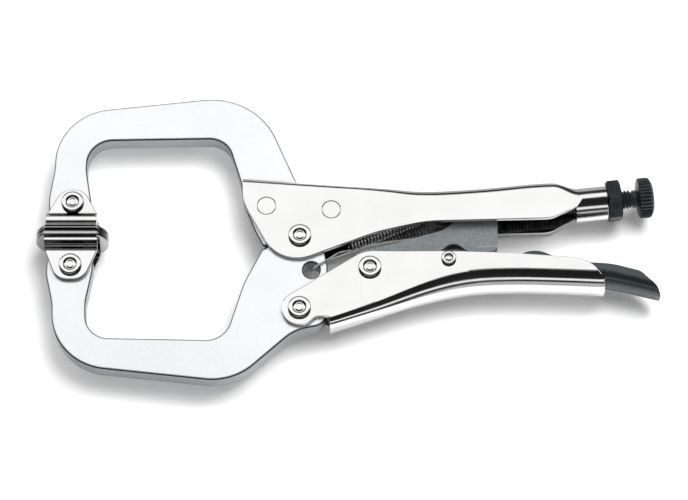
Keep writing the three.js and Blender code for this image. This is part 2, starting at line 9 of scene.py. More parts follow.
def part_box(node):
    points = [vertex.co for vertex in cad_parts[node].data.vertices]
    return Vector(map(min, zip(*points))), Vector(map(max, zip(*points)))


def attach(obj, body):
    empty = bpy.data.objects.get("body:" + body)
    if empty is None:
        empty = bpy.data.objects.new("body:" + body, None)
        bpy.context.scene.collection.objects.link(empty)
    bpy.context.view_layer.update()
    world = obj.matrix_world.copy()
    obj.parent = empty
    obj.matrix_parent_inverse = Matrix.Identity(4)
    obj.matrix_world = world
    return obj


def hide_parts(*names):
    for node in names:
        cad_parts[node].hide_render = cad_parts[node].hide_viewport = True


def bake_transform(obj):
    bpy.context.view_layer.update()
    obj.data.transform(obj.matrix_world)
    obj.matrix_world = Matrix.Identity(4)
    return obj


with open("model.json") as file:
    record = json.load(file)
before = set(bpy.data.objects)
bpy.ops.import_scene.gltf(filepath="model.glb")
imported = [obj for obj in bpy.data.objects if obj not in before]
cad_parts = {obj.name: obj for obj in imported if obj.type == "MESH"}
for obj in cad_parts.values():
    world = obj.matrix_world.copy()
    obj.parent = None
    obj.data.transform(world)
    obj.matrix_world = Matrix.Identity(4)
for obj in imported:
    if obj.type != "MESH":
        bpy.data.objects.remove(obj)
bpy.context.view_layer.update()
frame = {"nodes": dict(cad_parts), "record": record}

MM = 0.001

# ---- sizes and places in the tool ----
JAW_PLATE = 9.3
SHEET = 2.0
PAD_SHEET = 1.95
LEVER_SHEET = 1.6
LINK_PLATE = 8.0
GRIP_HALF = 9.7
LOWER_GRIP_HALF = 9.3
FLANGE_IN = 4.95
FLANGE_OUT = FLANGE_IN + SHEET
THROAT_HALF = 48.4
TIP_X = -101.8
TIP_BOSS = 10.9
UPPER_PIN = (TIP_X, 16.0)
LOWER_PIN = (TIP_X, -14.0)
HANDLE_PIN = (0.0, -34.4)
LINK_PIVOT = (31.2, -15.2)
LEVER_PIVOT = (66.1, -11.9)
FRONT_RIVET = (-15.0, 14.5)
BACK_RIVET = (14.0, 12.7)
HOOK_HOLE = (5.2, -15.6)
ANCHOR = (65.0, 16.2)
SPRING_BACK = (56.5, 13.2)
CONTACT = 1.0
PIN_HOLE = 3.7
FLUSH_HOLE = 4.1
BARREL_BACK = (137.7, 19.4)
BARREL_RADIUS = 8.35
BARREL_LENGTH = 14.5
SCREW_SLOPE = math.radians(6.2)
THREAD_RADIUS = 4.4
THREAD_PITCH = 1.5
NUT_FROM = 0.3
NUT_TO = 6.4
NECK_FROM = 11.0
KNOB_FROM = 13.8
KNOB_TO = 21.2
LINK_END = 88.4
LEVER_REACH = 161.0
SLOT_END = 0.8

# ---- holes, rivets as (shank radius, head radius), and edge rounds ----
PAD_PIN_HOLE = 3.0
HOOK_HOLE_RADIUS = 3.7
LEVER_HOLE = 2.2
BORE_RADIUS = BARREL_RADIUS - SHEET
MAIN_RIVET = (3.6, 5.1)
PAD_RIVET = (2.9, 5.0)
LEVER_RIVET = (2.1, 3.3)
JAW_EDGE = 0.85
HANDLE_EDGE = 0.3
LEVER_EDGE = 0.25
PAD_EDGE = 0.28
LEVER_GAP = 0.3
WIRE_RADIUS = 0.45


def middle(node):
    """The centre of a CAD node's box."""
    low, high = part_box(node)
    return (low + high) / 2


PIVOT = middle("main_pivot_rivet")


# ======== outlines and skins ========

def smoothstep(x, low, high):
    t = min(max((x - low) / (high - low), 0.0), 1.0)
    return t * t * (3 - 2 * t)


def mix(a, b, t):
    return a + (b - a) * t


def rounded(corners, step=0.1):
    """A closed outline from corners (x, y, radius); arcs share the length of the edge between them."""
    count = len(corners)
    bends = []
    for i, (x, y, radius) in enumerate(corners):
        corner = Vector((x, y))
        before = corners[i - 1]
        after = corners[(i + 1) % count]
        back = Vector((before[0], before[1])) - corner
        ahead = Vector((after[0], after[1])) - corner
        edge = ahead.length
        back.normalize()
        ahead.normalize()
        half = math.acos(min(max(back.dot(ahead), -1.0), 1.0)) / 2
        bends.append((corner, back, ahead, edge, half, radius / math.tan(half)))
    share = []
    for i, bend in enumerate(bends):
        both = bend[5] + bends[(i + 1) % count][5]
        share.append(0.999 * bend[3] / both if both > bend[3] else 1.0)
    points = []
    for i, (corner, back, ahead, edge, half, tangent) in enumerate(bends):
        length = tangent * min(share[i], share[i - 1])
        if length < 0.02:
            points.append(corner)
            continue
        centre = corner + (back + ahead).normalized() * (length / math.cos(half))
        first = corner + back * length - centre
        cross = back.x * ahead.y - back.y * ahead.x
        turn = (math.pi - 2 * half) * (-1 if cross > 0 else 1)
        steps = max(2, math.ceil(abs(turn) / step))
        for k in range(steps + 1):
            points.append(centre + turned(first, turn * k / steps))
    tidy = []
    for i, point in enumerate(points):
        if (point - points[(i + 1) % len(points)]).length > 0.02:
            tidy.append((point.x, point.y))
    return tidy


def turned(v, angle):
    """The plane vector turned by the angle."""
    c, s = math.cos(angle), math.sin(angle)
    return Vector((v.x * c - v.y * s, v.x * s + v.y * c))


def circle(x, y, radius, sides=64):
    return [(x + radius * math.cos(2 * math.pi * k / sides), y + radius * math.sin(2 * math.pi * k / sides))
            for k in range(sides)]


def arc(radius, start, end, steps=26):
    """Outline corners on an arc about the main pivot, between two angles in degrees."""
    rows = []
    for k in range(steps + 1):
        angle = math.radians(mix(start, end, k / steps))
        rows.append((radius * math.cos(angle), radius * math.sin(angle), 0))
    return rows


def spline_points(knots, count):
    """Points on a Catmull-Rom curve through the knots, evenly by parameter."""
    last = len(knots) - 1
    rows = []
    for i in range(count + 1):
        p = last * i / count
        k = min(int(p), last - 1)
        t = p - k
        p0, p1 = knots[max(k - 1, 0)], knots[k]
        p2, p3 = knots[k + 1], knots[min(k + 2, last)]
        row = []
        for a, b, c, d in zip(p0, p1, p2, p3):
            v0, v1 = (c - a) / 2, (d - b) / 2
            cubic, square = 2 * b - 2 * c + v0 + v1, -3 * b + 3 * c - 2 * v0 - v1
            row.append(cubic * t ** 3 + square * t * t + v0 * t + b)
        rows.append(tuple(row))
    return rows


def mesh_object(name, verts, faces):
    mesh = bpy.data.meshes.new(name)
    mesh.from_pydata([tuple(v) for v in verts], [], faces)
    mesh.validate()
    mesh.update()
    obj = bpy.data.objects.new(name, mesh)
    bpy.context.scene.collection.objects.link(obj)
    return obj


def bake(obj):
    """The modifiers become the mesh."""
    bpy.context.view_layer.update()
    graph = bpy.context.evaluated_depsgraph_get()
    mesh = bpy.data.meshes.new_from_object(obj.evaluated_get(graph))
    obj.modifiers.clear()
    obj.data = mesh
    return obj


def weld(obj, distance=0.002):
    modifier = obj.modifiers.new("weld", "WELD")
    modifier.merge_threshold = distance
    return bake(obj)


def plate(name, outline, thickness, holes=(), edge=0.0, rounds=3):
    """A flat plate centred on z = 0, with holes and a rounded edge."""
    curve = bpy.data.curves.new(name, "CURVE")
    curve.dimensions = "2D"
    curve.fill_mode = "BOTH"
    for loop in [outline, *[list(reversed(hole)) for hole in holes]]:
        line = curve.splines.new("POLY")
        line.points.add(len(loop) - 1)
        for point, (x, y) in zip(line.points, loop):
            point.co = (x, y, 0, 1)
        line.use_cyclic_u = True
    curve.extrude = thickness / 2 - edge
    curve.bevel_depth = edge
    curve.bevel_resolution = rounds
    curve.offset = -edge
    return weld(from_curve(name, curve))


def from_curve(name, curve):
    """The curve's surface as a mesh object."""
    source = bpy.data.objects.new(name, curve)
    bpy.context.scene.collection.objects.link(source)
    bpy.context.view_layer.update()
    graph = bpy.context.evaluated_depsgraph_get()
    mesh = bpy.data.meshes.new_from_object(source.evaluated_get(graph))
    bpy.data.objects.remove(source)
    obj = bpy.data.objects.new(name, mesh)
    bpy.context.scene.collection.objects.link(obj)
    return obj


def add_ring(verts, height, radii):
    """Adds a ring of vertices about Z and gives their numbers; a single radius of 0 makes a pole."""
    first = len(verts)
    for i, radius in enumerate(radii):
        angle = 2 * math.pi * i / len(radii)
        verts.append((radius * math.cos(angle), radius * math.sin(angle), height))
    return list(range(first, len(verts)))


def tube_faces(rings):
    """Faces between each ring and the next, with triangles at a pole."""
    faces = []
    for a, b in zip(rings, rings[1:]):
        sides = max(len(a), len(b))
        for i in range(sides):
            j = (i + 1) % sides
            if len(a) == 1:
                faces.append((a[0], b[j], b[i]))
            elif len(b) == 1:
                faces.append((a[i], a[j], b[0]))
            else:
                faces.append((a[i], a[j], b[j], b[i]))
    return faces


def lathe(name, profile, sides=72):
    """A turned piece about Z from (radius, height) rows; rows with no radius close on the axis."""
    verts = []
    rings = [add_ring(verts, height, [radius] * sides if radius else [0]) for radius, height in profile]
    return mesh_object(name, verts, tube_faces(rings))


def skin(name, sections):
    """A closed skin through sections that all have the same number of points."""
    count = len(sections[0])
    verts = [p for section in sections for p in section]
    faces = []
    for s in range(len(sections) - 1):
        for i in range(count):
            a = s * count + i
            b = s * count + (i + 1) % count
            faces.append((a, b, b + count, a + count))
    last = (len(sections) - 1) * count
    faces.append(tuple(reversed(range(count))))
    faces.append(tuple(range(last, last + count)))
    obj = mesh_object(name, verts, faces)
    return face_out(obj)


def face_out(obj):
    """Faces look outwards."""
    form = bmesh.new()
    form.from_mesh(obj.data)
    bmesh.ops.recalc_face_normals(form, faces=form.faces)
    form.to_mesh(obj.data)
    form.free()
    return obj


def channel(x, closed, lips, half, bend, thickness, steps=12):
    """The section of a folded sheet at x, its closed side at `closed` and its lips at `lips`."""
    side = 1 if closed > lips else -1
    inner_bend = max(bend - thickness, 0.4)
    outer, inner = [], []
    for hand in (1, -1):
        outer_row = [(x, lips, hand * half)]
        inner_row = [(x, lips, hand * (half - thickness))]
        for k in range(steps + 1):
            angle = math.pi / 2 * k / steps
            reach, rise = math.cos(angle), math.sin(angle)
            outer_row.append((x, closed - side * bend * (1 - rise), hand * (half - bend * (1 - reach))))
            inner_row.append((x, closed - side * (thickness + inner_bend * (1 - rise)),
                              hand * (half - thickness - inner_bend * (1 - reach))))
        outer += outer_row if hand > 0 else outer_row[::-1]
        inner += inner_row if hand > 0 else inner_row[::-1]
    return outer + inner[::-1]


def prism(outline, half):
    """The outline as a cutter, `half` deep to each side."""
    return face_out(plate("cutter", outline, 2 * half))


def rod(x, y, radius, half=20):
    return prism(circle(x, y, radius), half)


def block(low, high):
    (x0, y0, z0), (x1, y1, z1) = low, high
    corners = [(x0, y0), (x1, y0), (x1, y1), (x0, y1)]
    verts = [(x, y, z0) for x, y in corners] + [(x, y, z1) for x, y in corners]
    faces = [(3, 2, 1, 0), (4, 5, 6, 7), (0, 1, 5, 4), (1, 2, 6, 5), (2, 3, 7, 6), (3, 0, 4, 7)]
    return mesh_object("cutter", verts, faces)


def carve(obj, operation, *tools):
    """Booleans with the tools, which are used up."""
    for tool in tools:
        modifier = obj.modifiers.new("carve", "BOOLEAN")
        modifier.operation = operation
        modifier.solver = "EXACT"
        modifier.object = tool
    bake(obj)
    for tool in tools:
        bpy.data.objects.remove(tool)
    return weld(obj, 0.004)


def soften(obj, width, clear=None, segments=2, angle=50):
    """Sheet edges get a small real round, where `clear` says there is room for it."""
    form = bmesh.new()
    form.from_mesh(obj.data)
    weights = form.edges.layers.float.new("bevel_weight_edge")
    for edge in form.edges:
        room = clear is None or all(clear(corner.co) for corner in edge.verts)
        if room and edge.is_manifold and edge.calc_face_angle() > math.radians(angle):
            edge[weights] = 1.0
    form.to_mesh(obj.data)
    form.free()
    modifier = obj.modifiers.new("soften", "BEVEL")
    modifier.width = width
    modifier.segments = segments
    modifier.limit_method = "WEIGHT"
    modifier.use_clamp_overlap = False
    return bake(obj)


def along_screw(obj):
    """Turned pieces on the screw axis have z = 0 at the back of the barrel and z up along the screw."""
    turn = Matrix.Rotation(SCREW_SLOPE, 4, "Z") @ Matrix.Rotation(math.pi / 2, 4, "Y")
    obj.data.transform(Matrix.Translation((BARREL_BACK[0], BARREL_BACK[1], 0)) @ turn)
    return obj


# ======== surface looks ========

class Look:
    """One procedural material, with short ways to add its nodes."""

    def __init__(self, name, metallic):
        self.material = bpy.data.materials.new(name)
        self.material.use_nodes = True
        self.nodes = self.material.node_tree.nodes
        self.links = self.material.node_tree.links
        self.shader = self.nodes["Principled BSDF"]
        self.shader.inputs["Metallic"].default_value = metallic
        self.place = self.nodes.new("ShaderNodeTexCoord").outputs["Object"]

    def stretched(self, scale):
        mapping = self.nodes.new("ShaderNodeMapping")
        mapping.inputs["Scale"].default_value = scale
        self.links.new(self.place, mapping.inputs["Vector"])
        return mapping.outputs["Vector"]

    def noise(self, scale, detail=3.0, rough=0.55, place=None):
        node = self.nodes.new("ShaderNodeTexNoise")
        node.inputs["Scale"].default_value = scale
        node.inputs["Detail"].default_value = detail
        node.inputs["Roughness"].default_value = rough
        self.links.new(place or self.place, node.inputs["Vector"])
        return node.outputs["Fac"]

    def levels(self, value, low, high, to_low=0.0, to_high=1.0):
        node = self.nodes.new("ShaderNodeMapRange")
        node.inputs["From Min"].default_value = low
        node.inputs["From Max"].default_value = high
        node.inputs["To Min"].default_value = to_low
        node.inputs["To Max"].default_value = to_high
        self.links.new(value, node.inputs["Value"])
        return node.outputs["Result"]

    def blend(self, factor, a, b):
        node = self.nodes.new("ShaderNodeMix")
        node.data_type = "RGBA"
        self.links.new(factor, node.inputs["Factor"])
        for socket, colour in ((node.inputs["A"], a), (node.inputs["B"], b)):
            if isinstance(colour, tuple):
                socket.default_value = (*colour, 1)
            else:
                self.links.new(colour, socket)
        return node.outputs["Result"]

    def plus(self, a, b, how="ADD"):
        node = self.nodes.new("ShaderNodeMath")
        node.operation = how
        for socket, value in zip(node.inputs, (a, b)):
            if isinstance(value, float):
                socket.default_value = value
            else:
                self.links.new(value, socket)
        return node.outputs["Value"]

    def edges(self, low, high):
        """1 on convex edges, where plating wears."""
        return self.levels(self.nodes.new("ShaderNodeNewGeometry").outputs["Pointiness"], low, high)

    def facing(self):
        """How squarely the surface faces up or down: 1 on the flats, 0 on the walls."""
        split = self.nodes.new("ShaderNodeSeparateXYZ")
        self.links.new(self.nodes.new("ShaderNodeTexCoord").outputs["Normal"], split.inputs["Vector"])
        return self.plus(split.outputs["Z"], 0.0, "ABSOLUTE")

    def bump(self, height, strength, depth):
        node = self.nodes.new("ShaderNodeBump")
        node.inputs["Strength"].default_value = strength
        node.inputs["Distance"].default_value = depth
        self.links.new(height, node.inputs["Height"])
        self.links.new(node.outputs["Normal"], self.shader.inputs["Normal"])

    def colour(self, socket):
        self.links.new(socket, self.shader.inputs["Base Color"])

    def roughness(self, socket):
        self.links.new(socket, self.shader.inputs["Roughness"])


def bright_nickel(name, low, high, painted_wall_shade):
    """Bright plating, at full tone where it faces up by `high`; below that it gets painted shade, near
    black below `low` and, on upright faces, the grey given as the last argument.
    """
    look = Look(name, 1.0)
    cloud = look.levels(look.noise(55), 0.35, 0.65)
    fine = look.noise(1400, 4.0)
    draw = look.noise(160, 4.0, 0.6, look.stretched((0.12, 1.0, 1.0)))
    tone = look.blend(cloud, (0.765, 0.76, 0.755), (0.80, 0.795, 0.79))
    # painted shade: faces tilted away from up are coloured near black and upright faces grey, standing in
    # for the dark reflections they catch
    facing = look.facing()
    dark = look.blend(look.levels(facing, 0.05, 0.3), (painted_wall_shade, painted_wall_shade, painted_wall_shade), (0.025, 0.025, 0.027))
    look.colour(look.blend(look.levels(facing, low, high), dark, tone))
    drawn = look.levels(draw, 0.3, 0.7, 0.07, 0.13)
    look.roughness(look.plus(drawn, look.levels(fine, 0.3, 0.7, 0.0, 0.04)))
    look.bump(look.plus(look.plus(draw, 0.6, "MULTIPLY"), fine), 0.12, 0.00003)
    return look.material


def satin_nickel():
    look = Look("satin_nickel", 0.8)
    cloud = look.levels(look.noise(34), 0.35, 0.65)
    blast = look.noise(2600, 3.0, 0.6)
    speck = look.levels(look.noise(950, 2.0), 0.44, 0.60)
    tone = look.blend(cloud, (0.84, 0.855, 0.875), (0.885, 0.895, 0.91))
    grained = look.blend(look.plus(speck, 0.22, "MULTIPLY"), tone, (0.93, 0.935, 0.945))
    # painted shade: side walls are coloured dark grey and rounded edges near black, while the flats keep
    # the light plating tone
    facing = look.facing()
    painted_wall_shade = look.blend(look.levels(facing, 0.05, 0.35), (0.30, 0.315, 0.33), (0.03, 0.032, 0.035))
    look.colour(look.blend(look.levels(facing, 0.86, 0.98), painted_wall_shade, grained))
    look.roughness(look.levels(blast, 0.25, 0.75, 0.25, 0.36))
    look.bump(blast, 0.22, 0.00008)
    return look.material


def grey_phosphate():
    look = Look("grey_phosphate", 0.35)
    cloud = look.levels(look.noise(70), 0.3, 0.7)
    grit = look.levels(look.noise(1900, 4.0, 0.7), 0.38, 0.62)
    tone = look.blend(cloud, (0.11, 0.13, 0.137), (0.17, 0.19, 0.20))
    grained = look.blend(grit, tone, (0.28, 0.30, 0.31))
    look.colour(look.blend(look.edges(0.54, 0.64), grained, (0.42, 0.44, 0.45)))
    look.roughness(look.levels(grit, 0.0, 1.0, 0.62, 0.78))
    look.bump(grit, 0.45, 0.0001)
    return look.material


def black_paint():
    look = Look("black_paint", 0.85)
    cloud = look.levels(look.noise(60), 0.3, 0.7)
    grit = look.noise(2100, 3.0, 0.6)
    tone = look.blend(cloud, (0.05, 0.06, 0.065), (0.075, 0.088, 0.095))
    look.colour(look.blend(look.edges(0.56, 0.72), tone, (0.30, 0.32, 0.33)))
    look.roughness(look.levels(grit, 0.3, 0.7, 0.22, 0.34))
    look.bump(grit, 0.3, 0.00006)
    look.shader.inputs["Coat Weight"].default_value = 0.25
    look.shader.inputs["Coat Roughness"].default_value = 0.25
    return look.material


def black_oxide():
    look = Look("black_oxide", 0.75)
    cloud = look.levels(look.noise(220), 0.3, 0.7)
    grit = look.noise(2600, 3.0, 0.6)
    tone = look.blend(cloud, (0.028, 0.031, 0.035), (0.055, 0.06, 0.066))
    look.colour(look.blend(look.edges(0.55, 0.68), tone, (0.30, 0.30, 0.30)))
    look.roughness(look.levels(grit, 0.3, 0.7, 0.30, 0.46))
    look.bump(grit, 0.2, 0.00005)
    return look.material


def spring_steel():
    look = Look("spring_steel", 0.9)
    cloud = look.levels(look.noise(400), 0.35, 0.65)
    draw = look.noise(3000, 2.0)
    look.colour(look.blend(cloud, (0.62, 0.62, 0.63), (0.82, 0.82, 0.83)))
    look.roughness(look.levels(draw, 0.3, 0.7, 0.14, 0.26))
    look.bump(draw, 0.12, 0.00003)
    return look.material


LOOKS = {
    "bright_nickel": bright_nickel("bright_nickel", -0.6, 0.1, 0.4),
    "satin_nickel": satin_nickel(),
    "grey_phosphate": grey_phosphate(),
    "black_paint": black_paint(),
    "black_oxide": black_oxide(),
    "spring_steel": spring_steel(),
}
# rivets and pads take strong painted shade: their sloped rings and folds are coloured dark, their upright
# faces grey
RIVET_LOOK = bright_nickel("rivet_nickel", 0.5, 0.93, 0.02)
PAD_LOOK = bright_nickel("pad_nickel", 0.6, 0.96, 0.45)
NODE_BODY = {node: body for body, nodes in frame["record"]["behaviour"]["bodies"].items() for node in nodes}
NODE_SLOT = {part["node"]: part["material_slot"] for part in frame["record"]["subparts"]}


def finish_piece(obj, node, sharp=34, look=None):
    """The drawn piece takes its CAD node's place, body and finish; edges round level faces are sharp."""
    level = 0.99999
    obj.name = "fine_" + node
    obj.data.name = obj.name
    obj.data.transform(Matrix.Translation(PIVOT) @ Matrix.Scale(MM, 4))
    face_out(obj)
    mesh = obj.data
    mesh.polygons.foreach_set("use_smooth", [True] * len(mesh.polygons))
    mesh.set_sharp_from_angle(angle=math.radians(sharp))
    level_sides = [0] * len(mesh.edges)
    for face in mesh.polygons:
        if abs(face.normal.z) > level:
            for corner in face.loop_indices:
                level_sides[mesh.loops[corner].edge_index] += 1
    for edge, sides in zip(mesh.edges, level_sides):
        if sides == 1:
            edge.use_edge_sharp = True
    modifier = obj.modifiers.new("flat faces stay flat", "WEIGHTED_NORMAL")
    modifier.keep_sharp = True
    modifier.weight = 80
    mesh.materials.clear()
    mesh.materials.append(look or LOOKS[NODE_SLOT[node]])
    if node == "jaw_spring":
        stretch_with_jaw(obj)
    else:
        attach(obj, NODE_BODY[node])
    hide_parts(node)


def stretch_with_jaw(obj):
    """The spring's placing is baked into its mesh and it goes on no body; its front hook sits in the
    movable jaw's lug and its back hook on the handle's tab.
    """
    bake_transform(obj)


# ======== jaws ========

def fixed_jaw():
    outer = TIP_X - 8.4
    inner = TIP_X + 5.6
    pin = UPPER_PIN[1]
    outline = rounded([
        (TIP_X - TIP_BOSS, pin - TIP_BOSS, TIP_BOSS),
        (TIP_X - TIP_BOSS, pin + 4, 14),
        (outer - 0.6, pin + 17, 20),
        (outer, THROAT_HALF + 12.3, 26),
        (-20.5, THROAT_HALF + 22.4, 32),
        (0.2, 22.7, 3),
        (21.4, 21.4, 3),
        (21.4, 6.5, 2),
        (12.5, 5.6, 1.5),
        *arc(11.8, 26, 192),
        (-16.2, -4.6, 1.6),
        (-20.2, 3.2, 30),
        (-25.6, 17.0, 30),
        (-26.6, 26.5, 20),
        (-33.4, THROAT_HALF, 10.8),
        (inner - 0.2, THROAT_HALF - 1.1, 11.5),
        (inner, pin + 16, 20),
        (TIP_X + 8.0, pin + 2, 12),
        (TIP_X + 8.0, pin - TIP_BOSS, 8.0),
    ])
    holes = [circle(*UPPER_PIN, PAD_PIN_HOLE), circle(*FRONT_RIVET, FLUSH_HOLE),
             circle(*BACK_RIVET, FLUSH_HOLE)]
    return plate("jaw", outline, JAW_PLATE, holes, JAW_EDGE, 4)


def movable_jaw():
    outer = TIP_X - 7.0
    inner = TIP_X + 7.6
    pin = LOWER_PIN[1]
    outline = rounded([
        (TIP_X - TIP_BOSS, pin + TIP_BOSS, TIP_BOSS),
        (TIP_X + 9.8, pin + TIP_BOSS, 9.8),
        (TIP_X + 9.8, pin - 2, 14),
        (inner - 0.5, pin - 17, 20),
        (inner + 0.2, -THROAT_HALF + 1.0, 10.5),
        (-33.0, -THROAT_HALF - 0.2, 11),
        (-24.8, -21.5, 40),
        (-16.9, -5.8, 1.6),
        *arc(11.0, 194, -18),
        (12.4, -14.0, 3),
        (11.8, -41.4, 6),
        (-2.0, -44.0, 20),
        (-28.9, -THROAT_HALF - 20.05, 27),
        (outer - 0.2, -THROAT_HALF - 11.25, 26.5),
        (outer - 0.8, pin - 18, 20),
        (TIP_X - TIP_BOSS, pin - 4, 14),
    ])
    holes = [circle(*LOWER_PIN, PAD_PIN_HOLE), circle(0, 0, PIN_HOLE), circle(*HANDLE_PIN, PIN_HOLE),
             circle(*HOOK_HOLE, HOOK_HOLE_RADIUS)]
    return plate("jaw", outline, JAW_PLATE, holes, JAW_EDGE, 4)


# ======== handles ========

UPPER_BACK = [(-32, 29.0), (9, 26.0), (37, 24.1), (52, 22.6), (64, 22.6), (84, 24.0),
              (103, 26.0), (115, 26.6), (124.5, 26.3), (129, 26.75)]
LOWER_BACK = [(8, -44.6), (29, -37.8), (55, -29.7), (75, -25.5), (93, -24.4), (113, -24.7), (139, -25.7)]


def lower_half(x):
    """Half the lower handle's width at x."""
    return mix(FLANGE_OUT, LOWER_GRIP_HALF, smoothstep(x, 34, 74))


def barrel_ring():
    """The round end of the upper handle, with rounded rims at its back."""
    inner = BORE_RADIUS
    low = -BARREL_LENGTH
    return along_screw(weld(lathe("barrel", [
        (inner, low), (BARREL_RADIUS, low), (BARREL_RADIUS, -0.5), (BARREL_RADIUS - 0.15, -0.15),
        (BARREL_RADIUS - 0.5, 0), (inner + 0.3, 0), (inner, -0.3), (inner, low)], 96)))


def clear_of_joints(point):
    """Edges at the barrel's joint and at the end of the jaw's slot have no room for a round."""
    barrel_joint = 121
    at_slot_end = SLOT_END - 0.6 < point.x < SLOT_END + 0.6 and point.y > 16
    return point.x < barrel_joint and not at_slot_end


def fixed_handle():
    sections = []
    for x, y in spline_points(UPPER_BACK, 110):
        squeeze = smoothstep(x, 113, 124.5)
        wide = mix(FLANGE_OUT, GRIP_HALF, smoothstep(x, 22, 58))
        half = mix(wide, BARREL_RADIUS, squeeze)
        bend = mix(mix(2.7, 4.6, smoothstep(x, 22, 54)), BARREL_RADIUS - 0.2, squeeze)
        sections.append(channel(x, y, -18, half, bend, SHEET))
    outline = rounded([
        (-25.9, 34, 0),
        (-25.7, 16.5, 22),
        (-8.7, -15.0, 16.5),
        (33.0, 1.4, 60),
        (56.5, 5.9, 60),
        (112.5, 7.4, 12),
        (124.0, 13.6, 6),
        (128.0, 20.0, 0),
        (128.0, 34, 0),
    ])
    body = carve(skin("handle", sections), "INTERSECT", prism(outline, 20))
    bore = along_screw(lathe("bore", [(0, -30), (BORE_RADIUS, -30), (BORE_RADIUS, 2), (0, 2)], 96))
    slot = block((-60, 12, -FLANGE_IN), (SLOT_END, 60, FLANGE_IN))
    carve(body, "DIFFERENCE", slot, rod(*FRONT_RIVET, FLUSH_HOLE), rod(*BACK_RIVET, FLUSH_HOLE),
          rod(0, 0, PIN_HOLE))
    carve(body, "UNION", face_out(barrel_ring()))
    carve(body, "DIFFERENCE", face_out(bore))
    soften(body, HANDLE_EDGE, clear_of_joints)
    tab = plate("tab", rounded([(62, 13.4, 1.5), (68, 13.4, 1.5), (68, 21.6, 0), (62, 21.6, 0)]),
                2.5, [circle(*ANCHOR, 1.5, 32)], 0.2, 2)
    return carve(body, "UNION", face_out(tab))


def movable_handle():
    sections = []
    for x, y in [(-12, -54), *spline_points(LOWER_BACK, 110)]:
        bend = mix(4.0, 8.2, smoothstep(x, 14, 76))
        sections.append(channel(x, y, 6, lower_half(x), bend, SHEET))
    front = 42.3
    outline = rounded([
        (-7.9, -front, 7.9),
        (3.2, -front, 4),
        (7.4, -38.4, 3),
        (13.4, -38.4, 1.2),
        (13.4, -50, 0),
        (135.4, -50, 0),
        (135.4, -22.0, 6),
        (130.6, -14.2, 12),
        (123.5, -11.2, 14),
        (92.0, -8.9, 120),
        (28.6, -7.0, 16),
        (-7.9, -30.2, 7.9),
    ])
    body = skin("handle", sections)
    carve(body, "INTERSECT", prism(outline, 20))
    carve(body, "DIFFERENCE", rod(*HANDLE_PIN, PIN_HOLE), rod(*LINK_PIVOT, PIN_HOLE),
          rod(*LEVER_PIVOT, LEVER_HOLE))
    return soften(body, HANDLE_EDGE)


def toggle_link():
    x, y = LINK_PIVOT
    boss = 8.2
    outline = rounded([
        (x - boss, y - boss, boss),
        (x + 5.0, y - boss, 6),
        (57.0, -7.9, 8),
        (61.6, -7.4, 4),
        (68.4, -1.4, 5),
        (75.2, -6.8, 5),
        (LINK_END, -6.8, 4),
        (LINK_END, 19.4, 4),
        (80.0, 18.6, 6),
        (64.5, 4.2, 12),
        (41.0, -2.8, 14),
        (x - boss, y + boss, boss),
    ])
    return plate("link", outline, LINK_PLATE, [circle(x, y, PIN_HOLE)], 0.5, 3)


def lever_half(x):
    """Half the release lever's width at x, between the lower handle's flanges."""
    return lower_half(x) - SHEET - LEVER_GAP


def release_lever():
    inside = SHEET + 1.1
    back = [(59, -28.6 + inside), (75, -25.5 + inside), (93, -24.4 + inside), (113, -24.7 + inside),
            (133, -25.3 + inside), (147, -24.4), (LEVER_REACH + 1, -28.1)]
    sections = []
    for x, y in spline_points(back, 80):
        half = lever_half(x)
        bend = mix(half - 0.6, 5.0, smoothstep(x, 130, LEVER_REACH))
        sections.append(channel(x, y, 4, half, bend, LEVER_SHEET))
    outline = rounded([
        (60.4, -40, 0),
        (LEVER_REACH, -40, 0),
        (LEVER_REACH, -29.5, 3),
        (LEVER_REACH - 2.8, -23.4, 8),
        (LEVER_REACH - 9.8, -16.7, 5),
        (139, -13.3, 40),
        (118, -12.0, 30),
        (104.5, -6.0, 14),
        (96, -9.8, 20),
        (84, -9.6, 10),
        (LEVER_PIVOT[0] + 4, -6.2, 4),
        (60.4, -7.2, 4),
    ])
    body = carve(skin("lever", sections), "INTERSECT", prism(outline, 15))
    carve(body, "DIFFERENCE", rod(*LEVER_PIVOT, LEVER_HOLE))
    nose = plate("nose", rounded([(76, -11.2, 0.6), (80, -11.2, 0.6), (80, -8.4, 0.6), (76, -8.4, 0.6)]),
                 2 * lever_half(76) - LEVER_SHEET)
    carve(body, "UNION", face_out(nose))
    return soften(body, LEVER_EDGE)


# ======== rivets ========

def rivet(pin, head, grip):
    """A shank with a stepped, dished head at both ends, and a small boss in each dish."""
    seat = grip + 0.2
    half = [
        (pin, seat),
        (head - 0.12, seat),
        (head, seat + 0.12),
        (head, seat + 0.95),
        (head * 0.985, seat + 1.15),
        (head * 0.95, seat + 1.33),
        (head * 0.91, seat + 1.43),
        (head * 0.86, seat + 1.49),
        (head * 0.80, seat + 1.50),
        (head * 0.63, seat + 1.50),
        (head * 0.60, seat + 1.45),
        (head * 0.58, seat + 1.30),
        (head * 0.52, seat + 0.66),
        (head * 0.49, seat + 0.55),
        (head * 0.44, seat + 0.52),
        (head * 0.38, seat + 0.56),
        (head * 0.31, seat + 0.66),
        (head * 0.25, seat + 0.69),
        (0, seat + 0.70),
    ]
    lower = [(r, -h) for r, h in reversed(half)]
    return lathe("rivet", lower + half)


def flush_rivet():
    """A rivet ground level with the handle's sides."""
    top = FLANGE_OUT
    half = [(4.0, top - 0.06), (3.95, top), (0, top)]
    return lathe("rivet", [(r, -h) for r, h in reversed(half)] + half)


def at(obj, x, y):
    """The object moved to a place in the tool's plane."""
    obj.data.transform(Matrix.Translation((x, y, 0)))
    return obj


# ======== pads ========

